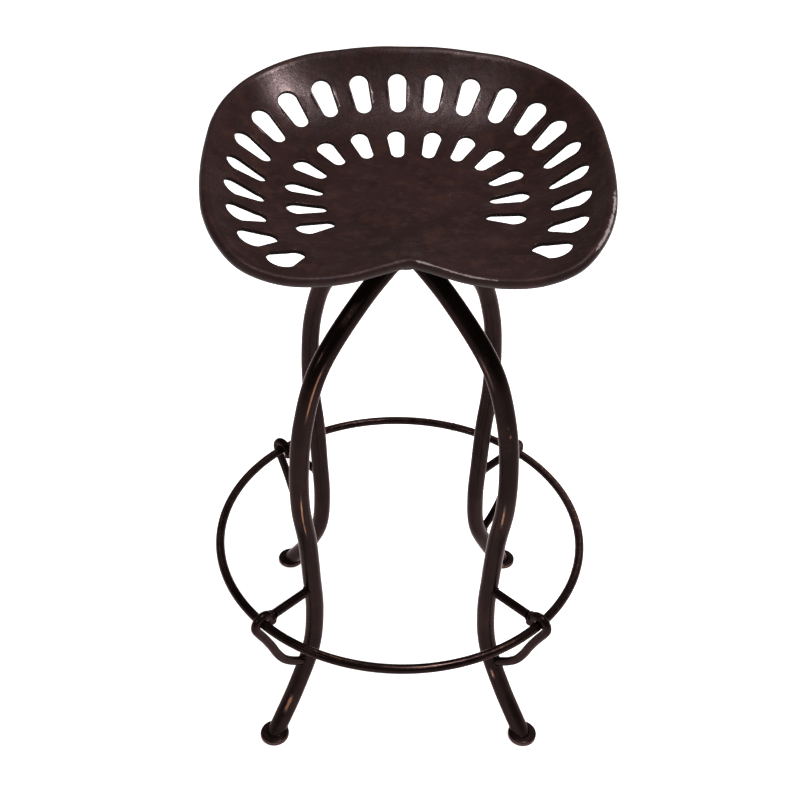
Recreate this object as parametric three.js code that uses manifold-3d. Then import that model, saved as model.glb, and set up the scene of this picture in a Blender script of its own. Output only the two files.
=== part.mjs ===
// A stool with a cast iron tractor seat on four bent tube legs, with a round foot ring.
// Millimetres, +Z up. The origin is on the floor under the swivel axis, and the notch of the seat faces -Y.
import * as THREE from "three";
import { mergeVertices } from "three/addons/utils/BufferGeometryUtils.js";
import Module from "manifold-3d";

const wasm = await Module();
wasm.setup();

// Fits
const gap = 0.3; // between pieces that touch or are welded
const overrun = 6; // how far a cut runs past the face it starts from

// Legs, bent from steel tube. Each lies in an upright plane through the swivel axis.
const legTube = 22;
const legWall = 2;
const footReach = 222.5; // from the swivel axis to the middle of a foot
const crownRise = 9.5; // from the hub's lower end up to where the legs' middle lines come to it
// Reach of the leg's middle line as shares of footReach, each with its height as a share of the crown's
const legShares = [
  [1.01, -0.015],
  [1, 0],
  [0.828, 0.095],
  [0.698, 0.19],
  [0.665, 0.285],
  [0.678, 0.38],
  [0.696, 0.475],
  [0.732, 0.569],
  [0.73, 0.665],
  [0.69, 0.76],
  [0.582, 0.854],
  [0.298, 0.949],
  [0.076, 0.997],
  [0, 1.009],
];

// Foot discs
const discWidth = 36;
const discHeight = 7;
const discEdge = 1; // height of the bevel round the underside
const discCrown = 2.5; // how much the rounded top falls to the rim

// Foot ring, with the hooks and struts that carry it, all of one rod
const rod = 11;
const ringHeight = 209;
const ringStandoff = 78.4; // from the legs' middle lines out to the ring's
const hookDrop = 117; // from the ring down to where the hook's middle line meets the leg's
const hookTail = 9; // straight end of the hook inside the ring
const hookSweep = [-23, 165]; // degrees of the bend over the ring, from straight out
// Places along the hook's rise, as shares of its way out from the leg and of its way up to the ring
const hookShares = [
  [0, 0],
  [0.123, 0.077],
  [0.33, 0.188],
  [0.485, 0.3],
  [0.61, 0.445],
  [0.71, 0.6],
  [0.815, 0.745],
];
const strutRise = 3.7; // the strut's middle line above the ring's

// Hub, which the legs are welded to, and the swivel that turns in it
const hubMargin = 2.9; // how much wider the hub is than four tubes side by side need
const hubHeight = 34.5;
const spindleWidth = 20;
const spindleEnd = 2.4; // length of spindle below the retaining ring's groove
const runningGap = 0.35; // all round the spindle in its bushes
const bushWall = 1.35;
const bushLength = 13;
const flangeInset = 1; // from the hub's edge in to a bush flange's and the washer's
const flangeHeight = 1.6;
const washerHeight = 1.5;
const grooveDepth = 1.5;
const clipLip = 3; // how far the retaining ring stands out of its groove
const clipHeight = 1.2;
const clipMouth = 50; // degrees of the retaining ring's opening
const plateWidth = 120;
const plateHeight = 6;

// Seat pan, one iron casting: a bowl that rises to a high back and raised sides
const seatWidth = 427;
const seatBack = 210.5; // from the centre of the slot pattern to the back rim
const seatFront = 171; // from there to the front of the two lobes
const seatSetback = 18.5; // the pattern's centre lies this far behind the swivel axis
const bowlHeight = 660; // from the floor to the lowest place a sitter touches
const panWall = 4.5;
const rimBead = 12; // thickness of the rolled rim
const backStart = 16; // where the rise to the back begins
const backRise = 108.5; // of the bowl's surface at the back rim
const backPower = 2.58;
const sideRise = 62; // at each side of the rim
const sidePower = 4.2;
const frontRise = 5; // at the front of the lobes
const noseRise = 13; // the ridge behind the notch
const noseWidth = 41;
// Right half of the rim from the notch to the back: shares of half seatWidth, and of seatFront or seatBack
const rimShares = [
  [0, -0.8],
  [0.06, -0.81],
  [0.15, -0.865],
  [0.27, -0.94],
  [0.42, -0.99],
  [0.58, -1],
  [0.75, -0.935],
  [0.87, -0.79],
  [0.944, -0.6],
  [0.976, -0.38],
  [0.992, -0.1],
  [1, 0.2],
  [0.998, 0.42],
  [0.953, 0.61],
  [0.857, 0.766],
  [0.72, 0.876],
  [0.55, 0.953],
  [0.34, 0.985],
  [0.16, 0.998],
  [0, 1],
];
// Rings of the pan's surface between its centre and the rim, as shares of the way out
const surfaceShares = [0.2, 0.38, 0.53, 0.66, 0.77, 0.86, 0.94, 1];
// Places round the bead, as shares of the half turn from the upper face to the lower
const beadShares = [0.25, 0.5, 0.75, 1];
// The flat pad under the bowl, which the swivel plate is screwed to
const padWidth = 124;
const padHeight = 14.5; // from its lower face to the bottom of the bowl
const padDraft = 1.5;
const padShares = [0.5, 1]; // rings of its upper face, as shares of its radius

// Slots through the pan: two rows of teardrops that point at the pattern's centre
// Each list is a slot's size in front, at the side and at the back, and a slot between them lies between.
// A row's middle lies on shares of the way from that centre to the rim.
// Angles are in degrees from straight right, towards the back and round to the left.
const outerRow = {
  lengths: [43, 51, 50],
  wide: [34, 30, 22.5],
  narrow: [22, 19, 19],
  shares: [0.775, 0.797, 0.787],
  angles: [
    -40, -26.5, -11.5, 5.3, 21.3, 33.3, 43.5, 54.4, 66.5, 79.4, 93.3, 107.4, 120.2, 131.6, 142.9, 155.6,
    170.8, 186.9, 201.8, 215.1, 228,
  ],
};
const innerRow = {
  lengths: [44, 46, 41],
  wide: [26, 26, 21],
  narrow: [17, 17, 16],
  shares: [0.46, 0.505, 0.53],
  angles: [-19.4, 4.1, 26, 43.4, 58.8, 75.8, 95.3, 114.2, 131, 147.9, 168, 190.7, 211.6],
};

// Seat screws, hex heads under the swivel plate
const screwCircleWidth = 90;
const screwShank = 8;
const screwGap = 0.4; // all round the shank
const screwDepth = 8; // of the blind hole in the pad
const screwGrip = 6.5; // length of thread in that hole
const screwHead = 15; // across the corners
const screwHeadHeight = 5.3;

// How finely the round shapes are cut
const roundSides = 24;
const tubeSides = 12;
const boreSides = 6;
const rodSides = 8;
const legSteps = 17;
const bendSteps = 9;
const crownSteps = 2;
const ringSides = 48;
const rimSides = 60;
const slotEndSides = 4;
const slopeStep = 0.5; // the distance over which a slope of the pan is measured
const pathPlaces = 200; // places looked at along a leg
const rimPlaces = 1000; // and round the rim

// Finishes
const agedBrown = { color: 0x342625, roughness: 0.5, metalness: 0.7 };
const blackBrown = { color: 0x1c1412, roughness: 0.38, metalness: 0.7 };
const plainSteel = { color: 0x77757a, roughness: 0.4, metalness: 0.9 };
const bushBronze = { color: 0x8a6a3c, roughness: 0.45, metalness: 0.9 };

// Widths that follow from these
const hubWidth = legTube * Math.SQRT2 + hubMargin;
const bushBore = spindleWidth + 2 * runningGap;
const hubBore = bushBore + 2 * (bushWall + gap);
const flangeWidth = hubWidth - 2 * flangeInset;
const grooveWidth = spindleWidth - 2 * grooveDepth;
const clipWidth = spindleWidth + 2 * clipLip;
const screwHole = screwShank + 2 * screwGap;

// Heights of the stack under the seat, from the pad down to the spindle's end
const padBottom = bowlHeight - padHeight;
const plateTop = padBottom - gap;
const plateBottom = plateTop - plateHeight;
const upperFlangeTop = plateBottom - gap;
const hubTop = upperFlangeTop - flangeHeight - gap;
const hubBottom = hubTop - hubHeight;
const crownHeight = hubBottom + crownRise;
const lowerFlangeBottom = hubBottom - gap - flangeHeight;
const washerTop = lowerFlangeBottom - gap;
const washerBottom = washerTop - washerHeight;
const clipTop = washerBottom - gap;
const clipBottom = clipTop - clipHeight;
const grooveBottom = clipBottom - gap;

const stool = new THREE.Group();

function addPiece(name, geometry, finish, turn = 0) {
  const piece = new THREE.Mesh(geometry, new THREE.MeshStandardMaterial(finish));
  piece.name = name;
  piece.rotation.z = turn;
  stool.add(piece);
}

// Solids and geometries
function solidOf(geometry) {
  const bare = new THREE.BufferGeometry();
  bare.setAttribute("position", geometry.getAttribute("position"));
  bare.setIndex(geometry.getIndex());
  const merged = mergeVertices(bare);
  return new wasm.Manifold(
    new wasm.Mesh({
      numProp: 3,
      vertProperties: merged.getAttribute("position").array,
      triVerts: new Uint32Array(merged.getIndex().array),
    }),
  );
}

function geometryOf(solid) {
  const mesh = solid.getMesh();
  const geometry = new THREE.BufferGeometry();
  geometry.setAttribute("position", new THREE.BufferAttribute(mesh.vertProperties, 3));
  geometry.setIndex(new THREE.BufferAttribute(mesh.triVerts, 1));
  geometry.computeVertexNormals();
  return geometry;
}

// A profile of [radius, height] pairs, listed up the outside, turned about the Z axis
function turned(profile, sides = roundSides) {
  const points = profile.map(([radius, height]) => new THREE.Vector2(radius, height));
  return new THREE.LatheGeometry(points, sides).rotateX(Math.PI / 2);
}

// A disc or a tube between two heights
function turnedDisc(radius, low, high) {
  return turned([
    [0, low],
    [radius, low],
    [radius, high],
    [0, high],
  ]);
}

function turnedTube(radius, bore, low, high) {
  return turned([
    [bore, low],
    [radius, low],
    [radius, high],
    [bore, high],
    [bore, low],
  ]);
}

function circlePoints(radius, sides) {
  const points = [];
  for (let i = 0; i < sides; i += 1) {
    const angle = (i / sides) * Math.PI * 2;
    points.push(new THREE.Vector2(radius * Math.cos(angle), radius * Math.sin(angle)));
  }
  return points;
}

// A round bar along a path, or a tube if it has a bore
function swept(path, steps, radius, sides, bore = 0) {
  const section = new THREE.Shape(circlePoints(radius, sides));
  if (bore > 0) {
    section.holes.push(new THREE.Path(circlePoints(bore, boreSides)));
  }
  return new THREE.ExtrudeGeometry(section, { steps, extrudePath: path });
}

// Paths in the upright plane of one leg: reach from the axis along X, height along Z
function pathThrough(places) {
  const points = places.map(([reach, height]) => new THREE.Vector3(reach, 0, height));
  return new THREE.CatmullRomCurve3(points, false, "centripetal");
}

const legPath = pathThrough(
  legShares.map(([reachShare, heightShare]) => [reachShare * footReach, heightShare * crownHeight]),
);

function legReachAt(height) {
  const places = legPath.getPoints(pathPlaces);
  const above = places.findIndex((place) => place.z > height);
  const low = places[above - 1];
  const high = places[above];
  return THREE.MathUtils.mapLinear(height, low.z, high.z, low.x, high.x);
}

const ringRadius = legReachAt(ringHeight) + ringStandoff;

// The leg tube, coped round the hub and cut level over its foot disc
function legGeometry() {
  const tube = solidOf(swept(legPath, legSteps, legTube / 2, tubeSides, legTube / 2 - legWall));
  const hub = solidOf(turnedDisc(hubWidth / 2 + gap, crownHeight - legTube, crownHeight + legTube));
  const floor = solidOf(turnedDisc(footReach + discWidth, -legTube - overrun, discHeight + gap));
  return geometryOf(tube.subtract(hub).subtract(floor));
}

function discGeometry() {
  const radius = discWidth / 2;
  const profile = [
    [0, 0],
    [radius - discEdge, 0],
    [radius, discEdge],
  ];
  for (let i = 0; i <= crownSteps; i += 1) {
    const angle = (i / crownSteps) * (Math.PI / 2);
    const out = radius - discCrown + discCrown * Math.cos(angle);
    profile.push([out, discHeight - discCrown + discCrown * Math.sin(angle)]);
  }
  profile.push([0, discHeight]);
  return turned(profile);
}

function ringGeometry() {
  const profile = circlePoints(rod / 2, rodSides).map(({ x, y }) => [ringRadius + x, ringHeight + y]);
  profile.push(profile[0]);
  return turned(profile, ringSides);
}

// The leg's own space with a gap round it, cut out of what is welded to the leg
const legRoom = solidOf(swept(legPath, legSteps, legTube / 2 + gap, tubeSides));
const hookBend = rod + gap; // radius of the hook's middle line round the ring

// A path whose sweep has one step from each of its places to the next, so that a tight bend gets short steps
class SteppedPath extends THREE.CatmullRomCurve3 {
  getUtoTmapping(u) {
    return u;
  }
}

function hookGeometry() {
  const foot = ringHeight - hookDrop;
  const start = legReachAt(foot);
  const wayOut = ringRadius + hookBend - start;
  const places = hookShares.map(([outShare, upShare]) => [
    start + outShare * wayOut,
    foot + upShare * hookDrop,
  ]);
  const [from, to] = hookSweep.map(THREE.MathUtils.degToRad);
  for (let i = 0; i <= bendSteps; i += 1) {
    const angle = THREE.MathUtils.lerp(from, to, i / bendSteps);
    places.push([ringRadius + hookBend * Math.cos(angle), ringHeight + hookBend * Math.sin(angle)]);
  }
  const [lastReach, lastHeight] = places[places.length - 1];
  places.push([lastReach - hookTail * Math.sin(to), lastHeight + hookTail * Math.cos(to)]);
  const path = new SteppedPath(pathThrough(places).points);
  const bar = solidOf(swept(path, places.length - 1, rod / 2, rodSides));
  return geometryOf(bar.subtract(legRoom));
}

// The strut is cut square where the hook's straight end, which leans in towards the leg, meets its lower edge
function strutGeometry() {
  const height = ringHeight + strutRise;
  const bendEnd = THREE.MathUtils.degToRad(hookSweep[1]);
  const lean = Math.PI - bendEnd;
  const drop = hookBend * Math.sin(bendEnd) - strutRise + rod / 2;
  const hookReach = ringRadius + hookBend * Math.cos(bendEnd) - drop * Math.tan(lean);
  const end = hookReach - rod / 2 / Math.cos(lean) - gap;
  const path = new THREE.LineCurve3(
    new THREE.Vector3(legReachAt(height), 0, height),
    new THREE.Vector3(end, 0, height),
  );
  return geometryOf(solidOf(swept(path, 1, rod / 2, rodSides)).subtract(legRoom));
}

// A bush from its flange's outer face: into is 1 for one pushed upwards into the hub, -1 for one pushed down
function bushGeometry(flangeFace, into) {
  const inner = flangeFace + into * flangeHeight;
  const tail = inner + into * bushLength;
  const sleeve = hubBore / 2 - gap;
  const profile = [
    [bushBore / 2, flangeFace],
    [flangeWidth / 2, flangeFace],
    [flangeWidth / 2, inner],
    [sleeve, inner],
    [sleeve, tail],
    [bushBore / 2, tail],
    [bushBore / 2, flangeFace],
  ];
  return turned(into > 0 ? profile : profile.reverse());
}

function spindleGeometry() {
  const radius = spindleWidth / 2;
  const grooveTop = clipTop + gap;
  return turned([
    [0, grooveBottom - spindleEnd],
    [radius, grooveBottom - spindleEnd],
    [radius, grooveBottom],
    [grooveWidth / 2, grooveBottom],
    [grooveWidth / 2, grooveTop],
    [radius, grooveTop],
    [radius, plateBottom - gap],
    [0, plateBottom - gap],
  ]);
}

// The retaining ring is open on one side, so that it can be pressed into the groove
function clipGeometry() {
  const half = THREE.MathUtils.degToRad(clipMouth / 2);
  const shape = new THREE.Shape();
  shape.absarc(0, 0, clipWidth / 2, half, Math.PI * 2 - half, false);
  shape.absarc(0, 0, grooveWidth / 2 + gap, Math.PI * 2 - half, half, true);
  shape.closePath();
  const flat = { depth: clipHeight, bevelEnabled: false, curveSegments: roundSides / 2 };
  return new THREE.ExtrudeGeometry(shape, flat).translate(0, 0, clipBottom);
}

function screwPlaces() {
  return [0, 1, 2, 3].map((i) => {
    const angle = (i + 1 / 2) * (Math.PI / 2);
    return [(screwCircleWidth / 2) * Math.cos(angle), (screwCircleWidth / 2) * Math.sin(angle)];
  });
}

function plateGeometry() {
  const shape = new THREE.Shape(circlePoints(plateWidth / 2, 2 * roundSides));
  for (const [x, y] of screwPlaces()) {
    const hole = circlePoints(screwHole / 2, tubeSides);
    shape.holes.push(new THREE.Path(hole.map((point) => point.add(new THREE.Vector2(x, y)))));
  }
  const flat = { depth: plateHeight, bevelEnabled: false };
  return new THREE.ExtrudeGeometry(shape, flat).translate(0, 0, plateBottom);
}

// Hex head below the plate, shank up through it into the pad
function screwGeometry(x, y) {
  const headTop = plateBottom - gap;
  const head = new THREE.CylinderGeometry(screwHead / 2, screwHead / 2, screwHeadHeight, 6);
  head.rotateX(Math.PI / 2).translate(x, y, headTop - screwHeadHeight / 2);
  const length = screwHeadHeight / 2 + gap + plateHeight + gap + screwGrip;
  const shank = new THREE.CylinderGeometry(screwShank / 2, screwShank / 2, length, tubeSides);
  shank.rotateX(Math.PI / 2).translate(x, y, headTop - screwHeadHeight / 2 + length / 2);
  return geometryOf(solidOf(head).add(solidOf(shank)));
}

// Height of the pan's upper surface at a place across (u) and back (v) from the pattern's centre
function panHeight(u, v) {
  const across = Math.abs(u) / (seatWidth / 2);
  const backShare = Math.max(v - backStart, 0) / (seatBack - backStart);
  const frontShare = Math.max(-v, 0) / seatFront;
  const ridge = frontRise + noseRise * Math.exp(-((u / noseWidth) ** 2));
  return (
    bowlHeight +
    backRise * backShare ** backPower +
    sideRise * across ** sidePower +
    ridge * frontShare ** 2
  );
}

function panPoint(u, v) {
  return new THREE.Vector3(u, v, panHeight(u, v));
}

// Normal of the upper surface, from the heights a little to each side
function panNormal(u, v) {
  const half = slopeStep / 2;
  const slopeAcross = (panHeight(u + half, v) - panHeight(u - half, v)) / slopeStep;
  const slopeBack = (panHeight(u, v + half) - panHeight(u, v - half)) / slopeStep;
  return new THREE.Vector3(-slopeAcross, -slopeBack, 1).normalize();
}

// The rim's outline seen from above, once round from the notch
function rimCurve() {
  const right = rimShares.map(([acrossShare, alongShare]) => {
    const along = alongShare < 0 ? alongShare * seatFront : alongShare * seatBack;
    return new THREE.Vector3((acrossShare * seatWidth) / 2, along, 0);
  });
  const left = right.slice(1, -1).reverse();
  const mirrored = left.map((point) => new THREE.Vector3(-point.x, point.y, 0));
  return new THREE.CatmullRomCurve3([...right, ...mirrored], true, "centripetal");
}

const rim = rimCurve();

// A solid from a skin. Each line of points runs from near the top's centre outwards and back under it.
function skinned(top, lines, bottom) {
  const rows = lines[0].length;
  const positions = lines.flat().concat(top, bottom);
  const topIndex = lines.length * rows;
  const faces = [];
  for (let i = 0; i < lines.length; i += 1) {
    const here = i * rows;
    const next = ((i + 1) % lines.length) * rows;
    faces.push(topIndex, here, next);
    for (let j = 0; j < rows - 1; j += 1) {
      faces.push(here + j, here + j + 1, next + j);
      faces.push(here + j + 1, next + j + 1, next + j);
    }
    faces.push(topIndex + 1, next + rows - 1, here + rows - 1);
  }
  const skin = new THREE.BufferGeometry().setFromPoints(positions);
  skin.setIndex(faces);
  return solidOf(skin);
}

// A point of the pan's underside, or of a face at another depth in it
function depthPoint(u, v, depth) {
  return panPoint(u, v).addScaledVector(panNormal(u, v), -depth);
}

// Upper surface out to the rim, round the bead, and back underneath
function panShell() {
  const lines = [];
  for (let i = 0; i < rimSides; i += 1) {
    const outline = rim.getPointAt(i / rimSides);
    const along = rim.getTangentAt(i / rimSides);
    const out = new THREE.Vector3(along.y, -along.x, 0);
    const edge = outline.clone().addScaledVector(out, -rimBead / 2);
    const normal = panNormal(edge.x, edge.y);
    edge.addScaledVector(normal, rimBead / 2);
    const upper = [];
    const lower = [];
    for (const share of surfaceShares) {
      const u = edge.x * share;
      const v = edge.y * share;
      upper.push(panPoint(u, v));
      lower.unshift(depthPoint(u, v, panWall));
    }
    const outward = out.addScaledVector(normal, -out.dot(normal)).normalize();
    const middle = panPoint(edge.x, edge.y).addScaledVector(normal, -rimBead / 2);
    const bead = beadShares.map((turnShare) => {
      const angle = turnShare * Math.PI;
      const point = middle.clone().addScaledVector(normal, (rimBead / 2) * Math.cos(angle));
      return point.addScaledVector(outward, (rimBead / 2) * Math.sin(angle));
    });
    lines.push([...upper, ...bead, ...lower]);
  }
  return skinned(panPoint(0, 0), lines, depthPoint(0, 0, panWall));
}

// The pad's upper face lies inside the pan's wall
function padSolid() {
  const lines = [];
  const radius = padWidth / 2;
  for (const { x, y } of circlePoints(radius, roundSides)) {
    const line = padShares.map((share) => depthPoint(x * share, y * share - seatSetback, panWall / 2));
    const foot = new THREE.Vector3(x, y, 0).setLength(radius - padDraft);
    line.push(new THREE.Vector3(foot.x, foot.y - seatSetback, padBottom));
    lines.push(line);
  }
  const middle = depthPoint(0, -seatSetback, panWall / 2);
  return skinned(middle, lines, new THREE.Vector3(0, -seatSetback, padBottom));
}

// Where a ray from the pattern's centre, at an angle from +X, comes to the rim
function rimPlaceAt(degrees) {
  const angle = THREE.MathUtils.degToRad(degrees);
  const ray = new THREE.Vector3(Math.cos(angle), Math.sin(angle), 0);
  return rim.getPoints(rimPlaces).reduce((best, place) => {
    return place.clone().normalize().dot(ray) > best.clone().normalize().dot(ray) ? place : best;
  });
}

// A size between those in front, at the side and at the back: backness is -1, 0 and 1 there
function between([front, side, back], backness) {
  return THREE.MathUtils.lerp(side, backness < 0 ? front : back, Math.abs(backness));
}

// Teardrop outline along X, narrow end towards the centre
function slotShape(row, backness) {
  const length = between(row.lengths, backness);
  const wide = between(row.wide, backness);
  const narrow = between(row.narrow, backness);
  const points = [];
  for (let i = 0; i <= slotEndSides; i += 1) {
    const angle = (i / slotEndSides - 1 / 2) * Math.PI;
    const out = length / 2 - wide / 2 + (wide / 2) * Math.cos(angle);
    points.push(new THREE.Vector2(out, (wide / 2) * Math.sin(angle)));
  }
  for (let i = 0; i <= slotEndSides; i += 1) {
    const angle = (i / slotEndSides + 1 / 2) * Math.PI;
    const out = narrow / 2 - length / 2 + (narrow / 2) * Math.cos(angle);
    points.push(new THREE.Vector2(out, (narrow / 2) * Math.sin(angle)));
  }
  return new THREE.Shape(points);
}

// A cutter for one slot, square to the surface at the slot's middle
function slotCutter(row, degrees) {
  const place = rimPlaceAt(degrees);
  const backness = place.y / place.length();
  place.multiplyScalar(between(row.shares, backness));
  const normal = panNormal(place.x, place.y);
  const farther = place.clone().setLength(place.length() + panWall);
  const outward = panPoint(farther.x, farther.y).sub(panPoint(place.x, place.y));
  outward.addScaledVector(normal, -outward.dot(normal)).normalize();
  const across = new THREE.Vector3().crossVectors(normal, outward);
  const depth = panWall + rimBead + 2 * overrun;
  const cutter = new THREE.ExtrudeGeometry(slotShape(row, backness), { depth, bevelEnabled: false });
  cutter.translate(0, 0, -panWall - rimBead / 2 - overrun);
  const frame = new THREE.Matrix4().makeBasis(outward, across, normal);
  frame.setPosition(panPoint(place.x, place.y));
  return solidOf(cutter.applyMatrix4(frame));
}

function panGeometry() {
  let pan = panShell();
  for (const row of [outerRow, innerRow]) {
    for (const degrees of row.angles) {
      pan = pan.subtract(slotCutter(row, degrees));
    }
  }
  pan = pan.add(padSolid()).translate(0, seatSetback, 0);
  for (const [x, y] of screwPlaces()) {
    const hole = new THREE.CylinderGeometry(screwHole / 2, screwHole / 2, screwDepth + overrun, tubeSides);
    hole.rotateX(Math.PI / 2).translate(x, y, padBottom + (screwDepth - overrun) / 2);
    pan = pan.subtract(solidOf(hole));
  }
  return geometryOf(pan);
}

const corners = [
  ["front_left", 225],
  ["front_right", 315],
  ["rear_right", 45],
  ["rear_left", 135],
];
const leg = legGeometry();
const disc = discGeometry().translate(footReach, 0, 0);
const hook = hookGeometry();
const strut = strutGeometry();
for (const [corner, degrees] of corners) {
  const turn = THREE.MathUtils.degToRad(degrees);
  addPiece(`leg_${corner}`, leg, blackBrown, turn);
  addPiece(`foot_disc_${corner}`, disc, blackBrown, turn);
  addPiece(`ring_hook_${corner}`, hook, blackBrown, turn);
  addPiece(`ring_strut_${corner}`, strut, blackBrown, turn);
}
addPiece("foot_ring", ringGeometry(), blackBrown);
addPiece("hub_socket", turnedTube(hubWidth / 2, hubBore / 2, hubBottom, hubTop), blackBrown);
addPiece("upper_bush", bushGeometry(upperFlangeTop, -1), bushBronze);
addPiece("lower_bush", bushGeometry(lowerFlangeBottom, 1), bushBronze);
addPiece("swivel_spindle", spindleGeometry(), plainSteel);
addPiece("swivel_plate", plateGeometry(), blackBrown);
addPiece("retaining_washer", turnedTube(flangeWidth / 2, bushBore / 2, washerBottom, washerTop), plainSteel);
addPiece("retaining_ring", clipGeometry(), plainSteel);
screwPlaces().forEach(([x, y], i) => {
  addPiece(`seat_screw_${i + 1}`, screwGeometry(x, y), plainSteel);
});
addPiece("seat_pan", panGeometry(), agedBrown);

export default stool;
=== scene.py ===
import math

import bmesh
import bpy
from mathutils import Matrix, Vector
from mathutils.geometry import delaunay_2d_cdt


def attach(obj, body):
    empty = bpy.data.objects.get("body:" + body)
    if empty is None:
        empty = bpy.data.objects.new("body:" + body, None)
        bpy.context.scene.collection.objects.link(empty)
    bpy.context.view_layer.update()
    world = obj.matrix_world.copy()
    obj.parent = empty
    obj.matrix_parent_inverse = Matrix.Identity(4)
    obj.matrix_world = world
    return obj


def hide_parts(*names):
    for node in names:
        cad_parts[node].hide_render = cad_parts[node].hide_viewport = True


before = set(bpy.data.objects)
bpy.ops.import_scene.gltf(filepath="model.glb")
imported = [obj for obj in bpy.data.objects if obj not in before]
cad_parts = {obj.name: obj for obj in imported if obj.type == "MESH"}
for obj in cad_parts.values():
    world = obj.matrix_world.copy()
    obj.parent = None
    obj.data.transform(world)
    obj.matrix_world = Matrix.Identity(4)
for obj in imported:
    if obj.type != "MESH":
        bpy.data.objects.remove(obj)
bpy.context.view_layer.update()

# A counter stool: a cast iron tractor seat that swivels on four bent tube legs, with a
# foot ring hung on hooks. Metres, +Z up, the notch of the seat faces -Y.
scene = bpy.context.scene

# Camera, on a tripod a little over a metre in front of the stool and well above the seat,
# looking down at it.
camera_data = bpy.data.cameras.new("camera")
camera_data.lens = 51.953
camera_data.sensor_width = 36
camera_data.shift_x = 0.00193
camera_data.shift_y = -0.00026
camera = bpy.data.objects.new("camera", camera_data)
scene.collection.objects.link(camera)
camera_turn, camera_tilt, camera_roll = map(math.radians, (1.2426, 36.6425, 1.15703))
sight = Vector((
    math.sin(camera_turn) * math.cos(camera_tilt),
    math.cos(camera_turn) * math.cos(camera_tilt),
    -math.sin(camera_tilt),
))
level = Vector((math.cos(camera_turn), -math.sin(camera_turn), 0))
upright = level.cross(sight)
right = level * math.cos(camera_roll) + upright * math.sin(camera_roll)
top = upright * math.cos(camera_roll) - level * math.sin(camera_roll)
camera.matrix_world = Matrix.LocRotScale(
    (-0.028844, -1.083596, 1.221394), Matrix((right, top, -sight)).transposed().to_3x3(), None
)
scene.camera = camera

# Studio: the stool stands on a white light table in a room that is pale at the horizon and dim
# overhead. The key light hangs high and picks out the inner wall of the seat, a soft box behind
# at the right fills the bowl, and a small lamp at the left draws the legs' edges.
scene.view_settings.view_transform = "Standard"
world = bpy.data.worlds.new("white_room")
world.use_nodes = True
room = world.node_tree
room.nodes["Background"].inputs["Color"].default_value = (1, 1, 1, 1)
skyward = room.nodes.new("ShaderNodeSeparateXYZ")
room.links.new(room.nodes.new("ShaderNodeTexCoord").outputs["Generated"], skyward.inputs[0])
dimming = room.nodes.new("ShaderNodeMapRange")
dimming.interpolation_type = "SMOOTHSTEP"
pale_below, dim_above, horizon_light, overhead_light = 0.04, 0.30, 0.60, 0.07
for socket, value in zip(dimming.inputs[1:5], (pale_below, dim_above, horizon_light, overhead_light)):
    socket.default_value = value
room.links.new(skyward.outputs["Z"], dimming.inputs[0])
room.links.new(dimming.outputs[0], room.nodes["Background"].inputs["Strength"])
scene.world = world

floor_reach = 40
floor_mesh = bpy.data.meshes.new("floor")
floor_corners = [(x * floor_reach, y * floor_reach, 0) for x, y in ((-1, -1), (1, -1), (1, 1), (-1, 1))]
floor_mesh.from_pydata(floor_corners, [], [(0, 1, 2, 3)])
floor = bpy.data.objects.new("floor", floor_mesh)
scene.collection.objects.link(floor)
floor_paint = bpy.data.materials.new("floor_white")
floor_paint.use_nodes = True
for name, value in (
    ("Base Color", (0.93, 0.93, 0.93, 1)), ("Roughness", 0.9), ("Specular IOR Level", 0.1),
    ("Emission Color", (1, 1, 1, 1)), ("Emission Strength", 0.93),
):
    floor_paint.node_tree.nodes["Principled BSDF"].inputs[name].default_value = value
floor_mesh.materials.append(floor_paint)

lit_middle = Vector((0, 0, 0.45))
for light_name, place, size, power in (
    ("key_overhead", (0.49, -0.24, 2.55), 0.3, 34),
    ("rear_right", (1.15, 1.15, 2.13), 0.6, 38),
    ("side_left", (-1.44, -1.21, 1.82), 0.25, 5),
):
    light_data = bpy.data.lights.new(light_name, "AREA")
    light_data.shape = "RECTANGLE"
    light_data.size = light_data.size_y = size
    light_data.energy = power
    light = bpy.data.objects.new(light_name, light_data)
    scene.collection.objects.link(light)
    light.location = place
    light.visible_glossy = light_name != "rear_right"
    light.rotation_euler = (lit_middle - Vector(place)).to_track_quat("-Z", "Y").to_euler()


# Seat pan. One iron casting, dished, with a raised back and sides, a notched front, a rolled
# rim and two rows of slots. It is laid out here as a flat blank with its slots, and a rule
# then lifts the blank to the pan's form. A pad under the bowl takes the swivel plate.
pan_sizes = {
    "Half width": 0.2135,
    "Back length": 0.2105,
    "Front length": 0.171,
    "Setback": 0.0185,
    "Bowl height": 0.66,
    "Back start": 0.016,
    "Back rise": 0.1085,
    "Back power": 2.58,
    "Side rise": 0.062,
    "Side power": 4.2,
    "Front rise": 0.005,
    "Nose rise": 0.013,
    "Nose width": 0.041,
    "Nose power": 1.4,
    "Pad bottom": 0.6455,
}
pan_wall = 0.0045
rim_radius = 0.006
rim_stations = 460
slot_easing = 0.0008
slot_stations = 44
mesh_spacing = 0.0028
# Right half of the rim from the notch to the back: shares of the half width, and of the front
# or the back length
rim_shares = [
    (0, -0.810), (0.018, -0.812), (0.060, -0.828), (0.148, -0.872), (0.266, -0.936),
    (0.415, -0.984), (0.58, -1), (0.757, -0.944), (0.869, -0.79), (0.938, -0.596),
    (0.973, -0.379), (0.996, -0.1), (1.006, 0.2), (0.996, 0.419), (0.949, 0.607),
    (0.856, 0.765), (0.722, 0.878), (0.549, 0.951), (0.34, 0.984), (0.16, 0.997), (0, 0.998),
]
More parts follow.
